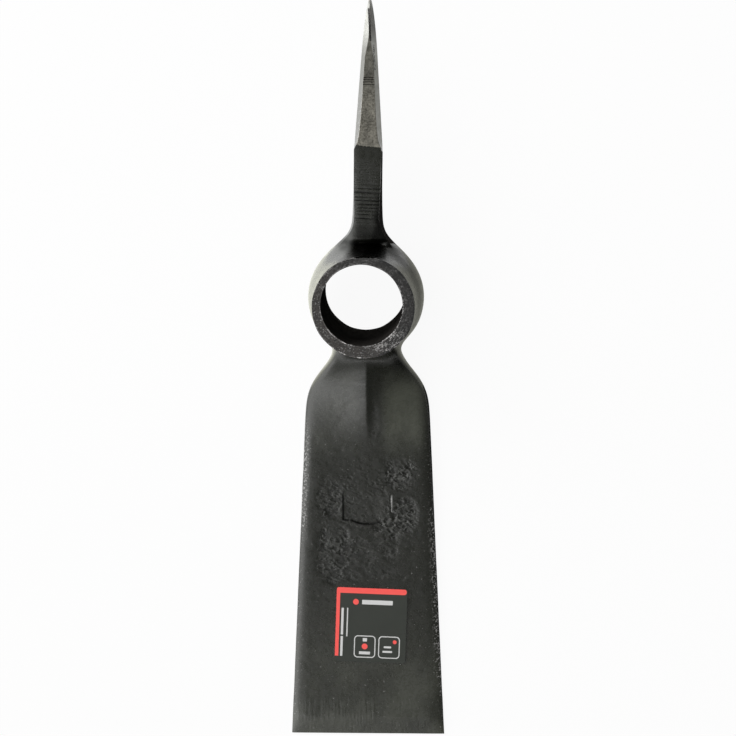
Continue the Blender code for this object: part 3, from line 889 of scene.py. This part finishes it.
def rounded_box(look, u, v, middle, half, corner):
    """Signed distance from a rounded box in the label's plane, less than 0 inside."""
    side = look.math("ABSOLUTE", look.math("SUBTRACT", u, middle[0]))
    side = look.most(look.math("SUBTRACT", side, half[0] - corner), 0.0)
    up = look.math("ABSOLUTE", look.math("SUBTRACT", v, middle[1]))
    up = look.most(look.math("SUBTRACT", up, half[1] - corner), 0.0)
    length = look.math("SQRT", look.math("ADD", look.times(side, side), look.times(up, up)))
    return look.math("SUBTRACT", length, corner)


def filled(look, distance):
    return look.remap(distance, 0.06 * MM, -0.06 * MM)


def outlined(look, distance, width):
    from_line = look.math("ABSOLUTE", look.math("ADD", distance, width / 2))
    return look.remap(from_line, width / 2 + 0.06 * MM, width / 2 - 0.06 * MM)


def label_finish():
    """Printed film: dark, with a red band along two sides, plain bars and dots, and two plain icons."""
    look = new_look("printed_film")
    x, y, _ = look.axes()
    right = look.math("SUBTRACT", x, LABEL_MIDDLE[0])
    above = look.math("SUBTRACT", y, LABEL_MIDDLE[1])
    turn_cos = math.cos(LABEL_TURN)
    turn_sin = math.sin(LABEL_TURN)
    u = look.math("ADD", look.times(right, turn_cos), look.times(above, turn_sin))
    v = look.math("SUBTRACT", look.times(above, turn_cos), look.times(right, turn_sin))

    def box(middle, half, corner=0.2):
        scaled = [(a * MM, b * MM) for a, b in (middle, half)]
        return rounded_box(look, u, v, *scaled, corner * MM)

    top_band = filled(look, box((-0.6, 17.9), (18.6, 1.45), 1.3))
    side_band = filled(look, box((-17.55, 1.4), (0.95, 18.0)))
    bars = [
        box((2.9, 12.0), (8.0, 1.15)),
        box((-15.1, -11.4), (0.6, 5.2)),
        box((-15.1, 1.6), (0.6, 7.0)),
        box((-12.5, 1.2), (0.3, 7.5)),
        box((-3.0, -14.6), (2.9, 0.75)),
        box((-3.0, -7.7), (1.1, 0.9)),
        box((8.9, -13.6), (2.5, 0.5)),
        box((8.9, -11.2), (1.9, 0.5)),
    ]
    dots = [box((-3.0, -11.2), (1.5, 1.5), 1.5), box((12.6, -8.4), (1.0, 1.0), 1.0),
            box((-8.3, 12.0), (1.5, 1.5), 1.5)]
    icons = [box((-3.0, -11.3), (5.6, 5.8), 2.0), box((9.7, -11.3), (5.6, 5.8), 2.0)]
    pale = look.most(*[filled(look, bar) for bar in bars],
                     *[outlined(look, icon, 0.5 * MM) for icon in icons])
    red = look.most(top_band, side_band, *[filled(look, dot) for dot in dots])

    film = look.mix(look.noise(90, 3), (0.028, 0.032, 0.026, 1), (0.036, 0.040, 0.033, 1))
    printed = look.mix(red, film, (0.97, 0.105, 0.090, 1))
    printed = look.mix(look.times(pale, 0.9), printed, (0.72, 0.72, 0.71, 1))
    look.set(Base_Color=printed, Roughness=look.remap(look.noise(300, 3), 0, 1, 0.36, 0.48))
    look.set(Normal=look.bump(look.noise(60, 3), 0.15 * MM))
    return look.owner


def add_floor():
    """A plain pale floor that is white to the camera and in reflections, with a faint shadow."""
    mesh = bmesh.new()
    bmesh.ops.create_grid(mesh, x_segments=1, y_segments=1, size=3.0)
    data = bpy.data.meshes.new("floor")
    mesh.to_mesh(data)
    mesh.free()
    floor = new_piece("floor", data)
    floor.location.z = cad_box[0][2] - FLOOR_GAP
    look = new_look("pale_floor")
    look.set(Base_Color=(0.8, 0.8, 0.8, 1), Roughness=0.9, Specular_IOR_Level=0.1)
    rays = look.add("LightPath").outputs
    seen = look.most(rays["Is Camera Ray"], rays["Is Glossy Ray"], rays["Is Transmission Ray"])
    both = look.add("MixShader")
    look.link(look.times(seen, 0.93), both.inputs[0])
    look.link(look.tree.nodes["Principled BSDF"].outputs[0], both.inputs[1])
    look.link(look.add("Emission").outputs[0], both.inputs[2])
    look.link(both.outputs[0], look.tree.nodes["Material Output"].inputs["Surface"])
    data.materials.append(look.owner)


def add_world():
    """White at the horizon; above it bright on the left and towards the cutting edge, else dim."""
    world = bpy.data.worlds.new("studio")
    bpy.context.scene.world = world
    look = Nodes(world)
    x, y, z = look.axes(look.direction)
    sideways = look.remap(look.math("MULTIPLY_ADD", y, 0.45, x), -0.72, -0.07, 1.68, 0.11)
    past_pick = look.remap(y, 0.25, 0.80, 1.0, 0.2)
    past_blade = look.remap(y, -0.85, -0.50, 0.2, 1.0)
    overhead = look.times(sideways, past_pick, past_blade)
    whole = look.mix(look.remap(z, 0.02, 0.12, 1.0, 0.0), overhead, (1, 1, 1, 1))
    look.link(whole, look.tree.nodes["Background"].inputs["Color"])


def add_card(name, low, high, glow):
    """A card on the floor, seen only in the gloss: black without a glow, bright with a strong one."""
    data = bpy.data.meshes.new(name)
    corners = [(low[0], low[1], 0), (high[0], low[1], 0), (high[0], high[1], 0), (low[0], high[1], 0)]
    data.from_pydata(corners, [], [(0, 1, 2, 3)])
    card = new_piece(name, data)
    card.location.z = cad_box[0][2] - CARD_GAP
    look = new_look(name)
    look.set(Base_Color=(0.01, 0.01, 0.01, 1), Specular_IOR_Level=0.0,
             Emission_Color=(1, 1, 0.88, 1), Emission_Strength=glow)
    data.materials.append(look.owner)
    card.visible_camera = False
    card.visible_diffuse = False
    card.visible_transmission = False
    card.visible_shadow = False


def add_lamp(name, place, width, height, power, in_gloss=True):
    """A softbox turned towards the head's middle, with or without a highlight."""
    data = bpy.data.lights.new(name, "AREA")
    data.shape = "RECTANGLE"
    data.size = width
    data.size_y = height
    data.energy = power
    lamp = new_piece(name, data)
    lamp.location = place
    lamp.rotation_euler = (Vector(LAMP_TARGET) - Vector(place)).to_track_quat("-Z", "Y").to_euler()
    lamp.visible_glossy = in_gloss


def add_camera():
    """The photograph's view: nearly straight down from 1.1 m, a little to the right."""
    data = bpy.data.cameras.new("camera")
    data.sensor_width = 36
    data.lens = CAMERA_LENS
    data.clip_start = 0.05
    camera = new_piece("camera", data)
    camera.location = CAMERA_PLACE
    camera.rotation_euler = Euler([math.radians(turn) for turn in CAMERA_TURN])
    bpy.context.scene.camera = camera


def main():
    bpy.context.scene.view_settings.view_transform = "Standard"
    head = fine_head(frame["nodes"]["forged_head"])
    forge(head)
    head.data.shade_smooth()
    head.data.materials.clear()
    for finish in (steel_finish(), bore_and_side_shade_finish(), rim_finish()):
        head.data.materials.append(finish)
    paint_regions(head)
    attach(head, "root")
    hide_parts("forged_head")

    label = frame["nodes"]["label"]
    label.data.materials.clear()
    label.data.materials.append(label_finish())
    add_floor()
    add_world()
    for card in CARDS:
        add_card(*card)
    add_lamp("left_softbox", (-0.95, 0.90, 0.55), 1.1, 0.9, 14)
    add_lamp("overhead_softbox", (-0.2, 0.1, 1.5), 1.2, 1.2, 8, in_gloss=False)
    add_camera()


main()
